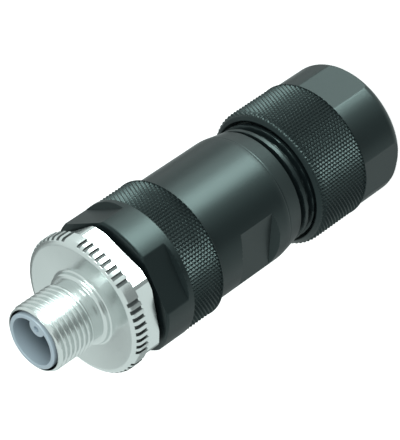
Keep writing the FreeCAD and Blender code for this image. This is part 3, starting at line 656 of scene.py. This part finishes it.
def buildScrew():
    s = screwShape
    angles, middles, half, hair = headColumns(s)
    headPath = roundedPath([
        (s["bearingRadius"], hexRear),
        (s["cornerRadius"] - s["chamferIn"], hexRear, 0, s["chamferStep"]),
        (s["cornerRadius"], hexRear + s["chamferLength"]),
        (s["cornerRadius"], s["hexEnd"]),
        (s["flangeRadius"], s["hexEnd"]),
        (s["flangeRadius"], s["face"], s["flangeRounding"]),
        (s["bossRadius"], s["face"] - s["dish"], s["bossFoot"]),
        (s["bossRadius"], s["bossTop"], s["bossRounding"]),
        (s["neckRadius"] - s["neckLap"], s["bossTop"]),
        (s["neckRadius"] - s["neckLap"], s["bearingEnd"]),
        (s["bearingRadius"], s["bearingEnd"]),
        (s["bearingRadius"], s["grooveEnd"]),
        (s["grooveRadius"], s["grooveEnd"]),
        (s["grooveRadius"], s["grooveStart"]),
        (s["bearingRadius"], s["grooveStart"]),
    ])

    def headShape(a, r, z):
        # hexagon: r becomes the smaller of itself and (across / 2) / cos(angle to the flat's middle)
        hexagon = (z < s["hexEnd"] + touch) & (r > s["acrossFlats"] / 2) & (r < s["cornerRadius"] + near)
        away = toNearest(a, s["sides"], s["flatAzimuth"])
        r = np.where(hexagon, np.minimum(r, s["acrossFlats"] / 2 / np.cos(away)), r)
        # a notch is cut to its floor and marked for painted shade, and so is the first column past each wall
        gap = np.abs(np.mod(a[..., None] - middles + math.pi, 2 * math.pi) - math.pi).min(-1)
        notch = (gap < half + 1.5 * hair) & (z > s["hexEnd"] - touch) & ~hexagon & (r > s["notchFloor"])
        return a, np.where(notch & (gap < half), s["notchFloor"], r), notch * s["notchShade"]

    # the barrel starts inside the boss, and the rim of its mouth is two rows a hair apart
    rootZ = s["bossTop"] - s["neckDepth"]
    rowStep = s["threadPitch"] / s["rowsPerPitch"]
    mouthRadius = s["boreRadius"] + s["mouthWidth"]

    barrelPath = roundedPath([
        (s["boreRadius"], rootZ),
        (s["neckRadius"], rootZ),
        (s["neckRadius"], s["threadStart"]),
        (s["threadRadius"], s["threadStart"] + s["threadFade"], 0, rowStep),
        (s["threadRadius"], screwFront - s["leadInLength"], 0, rowStep),
        (s["leadInRadius"], screwFront, s["leadInRounding"]),
        (mouthRadius + near, screwFront),
        (mouthRadius, screwFront),
        (s["boreRadius"], screwFront - s["mouthLength"]),
    ])

    def barrelShape(a, r, z):
        zone = (z > s["threadStart"]) & (r > mouthRadius + 2 * near)
        cut = cutThread(s, a, z, s["threadStart"], math.inf)
        # the groove stays clear of the mouth's edge, and the mouth's chamfer is marked for painted shade
        floor = np.where(z > screwFront - s["leadInWall"], mouthRadius + 3 * near, 0)
        mouth = (r < mouthRadius + near / 2) & (z > screwFront - s["mouthLength"] - near)
        return a, np.where(zone, np.maximum(np.minimum(r, cut), floor), r), mouth.astype(float)

    skins = [turnedSkin(headPath, angles, headShape), turnedSkin(barrelPath, s["columns"], barrelShape)]
    makePiece("couplingScrew", skins, "coupling_screw", "nickel_plate", nickelPlate, "coupling_screw")


buildScrew()

# Floor and light

stageLook = {
    "floorSide": 12.0,          # metres
    "floorColor": "#ffffff", "floorGlow": 0.78, "cardColor": "#000000",
    "worldLevel": 0.42,         # share of the sky's brightness that falls on the object
    "tint": "#e9f5f3",
    "middle": 0.04,             # height in metres of the point that lights and cards face
}


def glowingSheet(name, width, height, finish, base, glow, strength, hiddenFrom):
    # Flat sheet of the given size in metres, matt and without a shine of its own, as bright as its glow
    # makes it. Rays of the kinds in hiddenFrom pass through it.
    w, t = width / 2, height / 2
    mesh = bpy.data.meshes.new(name)
    mesh.from_pydata([(-w, -t, 0), (w, -t, 0), (w, t, 0), (-w, t, 0)], [], [(0, 1, 2, 3)])
    material = bpy.data.materials.new(finish)
    material.use_nodes = True
    shader = material.node_tree.nodes["Principled BSDF"]
    shader.inputs["Base Color"].default_value = linearColor(base)
    shader.inputs["Roughness"].default_value = 1.0
    shader.inputs["Specular IOR Level"].default_value = 0.0
    shader.inputs["Emission Color"].default_value = linearColor(glow)
    shader.inputs["Emission Strength"].default_value = strength
    mesh.materials.append(material)
    sheet = bpy.data.objects.new(name, mesh)
    bpy.context.scene.collection.objects.link(sheet)
    for ray in hiddenFrom:
        setattr(sheet, "visible_" + ray, False)
    return sheet


def buildFloor():
    # only the camera sees it, so that light from under the table top reaches the piece
    side, color = stageLook["floorSide"], stageLook["floorColor"]
    floor = glowingSheet("floor", side, side, "white lacquered table top", color, color,
                         stageLook["floorGlow"], ("diffuse", "glossy", "transmission", "shadow"))


def buildWorld():
    # The object is lit by a plain even sky, and camera and reflections see the bright studio round it: the
    # strength is 1 for rays of the camera, of shines and of clear parts, and worldLevel for all others.
    world = bpy.data.worlds.new("studio")
    bpy.context.scene.world = world
    world.use_nodes = True
    tree = world.node_tree
    tree.nodes.clear()
    path = addNode(tree, "ShaderNodeLightPath")
    seen = addNode(tree, "ShaderNodeMath", {"operation": "MAXIMUM"}, None,
                   {0: path.outputs["Is Camera Ray"], 1: path.outputs["Is Glossy Ray"]})
    seen = addNode(tree, "ShaderNodeMath", {"operation": "MAXIMUM"}, None,
                   {0: seen.outputs[0], 1: path.outputs["Is Transmission Ray"]})
    level = addNode(tree, "ShaderNodeMapRange", None, {"To Min": stageLook["worldLevel"], "To Max": 1.0},
                    {"Value": seen.outputs[0]})
    sky = addNode(tree, "ShaderNodeBackground", None, {"Color": linearColor(stageLook["tint"])},
                  {"Strength": level.outputs["Result"]})
    addNode(tree, "ShaderNodeOutputWorld", None, None, {"Surface": sky.outputs[0]})


lights = {
    # azimuth and elevation in degrees, distance, width and height in metres, radiance, what it lights
    "keyPanel": (38, -14, 0.9, 0.42, 1.1, 14.0, "shine"),
    "shoulderPanel": (66, -34, 0.95, 0.5, 0.55, 3.0, "shine"),
    "plainPanel": (20, 38, 1.1, 0.9, 0.9, 2.7, "colour"),
}

flags = {
    # grey cards that only reflections see: azimuth, elevation, distance, width, height, brightness
    "faceFlag": (158, 13, 0.9, 0.66, 0.72, 0.3),
    "dipFlag": (-31, -10, 0.9, 0.62, 1.5, 0.33),
    "edgeFlag": (142, -34, 0.9, 0.26, 0.8, 0.35),
    "sideFlag": (-142, -34, 0.9, 0.65, 0.8, 0.45),
}


def toward(azimuth, elevation):
    # direction from the object to a light or card
    a, e = math.radians(azimuth), math.radians(elevation)
    return Vector((math.cos(e) * math.cos(a), math.cos(e) * math.sin(a), math.sin(e)))


def facing(direction):
    # rotation that turns the plane of a panel or card square to the direction, with its height upright
    return direction.to_track_quat("Z", "Y")


def buildLights():
    middle = Vector((0, 0, stageLook["middle"]))
    for name, (azimuth, elevation, distance, width, height, radiance, part) in lights.items():
        direction = toward(azimuth, elevation)
        data = bpy.data.lights.new(name, "AREA")
        data.shape = "RECTANGLE"
        data.size, data.size_y = width, height
        data.energy = radiance * math.pi * width * height
        data.color = linearColor(stageLook["tint"])[:3]
        lamp = bpy.data.objects.new(name, data)
        lamp.rotation_mode = "QUATERNION"
        lamp.rotation_quaternion = facing(direction)
        lamp.location = middle + direction * distance
        lamp.visible_camera = False
        lamp.visible_diffuse = part == "colour"
        lamp.visible_glossy = part == "shine"
        bpy.context.scene.collection.objects.link(lamp)
    for name, (azimuth, elevation, distance, width, height, level) in flags.items():
        direction = toward(azimuth, elevation)
        card = glowingSheet(name, width, height, name + " grey card", stageLook["cardColor"],
                            stageLook["tint"], level, ("camera", "diffuse", "shadow", "transmission"))
        turned = facing(direction).to_matrix().to_4x4()
        card.matrix_world = Matrix.Translation(middle + direction * distance) @ turned


buildFloor()
buildWorld()
buildLights()
bpy.context.scene.view_settings.view_transform = "Standard"
print("floor and light set")

# Camera: the connector's axis lies across the picture, turned in the frame, and tips away from the lens

viewPlan = {
    "tiltFromAxis": 56.3,       # degrees between the line of sight and the connector's axis
    "roll": 34.4,               # degrees by which the axis climbs across the picture
    "distance": 411.82,         # to the aim plane, in millimetres
    "aimHeight": 45.0,
    "shift": (6.705, 0.857),    # of the eye, across the view, in millimetres
    "lens": 204.5,
    "sensor": 36,
    "clip": (0.01, 20),         # nearest and furthest distance that is seen, in metres
}
tilt, roll = math.radians(viewPlan["tiltFromAxis"]), math.radians(viewPlan["roll"])
along = Vector((math.cos(tilt), 0, -math.sin(tilt)))
across = Vector((0, 1, 0))
toEye = Vector((math.sin(tilt), 0, math.cos(tilt)))
cameraRight = math.cos(roll) * along - math.sin(roll) * across
cameraUp = math.sin(roll) * along + math.cos(roll) * across
cameraData = bpy.data.cameras.new("camera")
cameraData.lens = viewPlan["lens"]
cameraData.sensor_width = viewPlan["sensor"]
cameraData.clip_start, cameraData.clip_end = viewPlan["clip"]
camera = bpy.data.objects.new("camera", cameraData)
eye = Vector((0, 0, viewPlan["aimHeight"])) + toEye * viewPlan["distance"]
eye += along * viewPlan["shift"][0] + across * viewPlan["shift"][1]
turned = Matrix((cameraRight, cameraUp, toEye)).transposed()
camera.matrix_world = Matrix.Translation(eye * mm) @ turned.to_4x4()
bpy.context.scene.collection.objects.link(camera)
bpy.context.scene.camera = camera
print("camera placed")
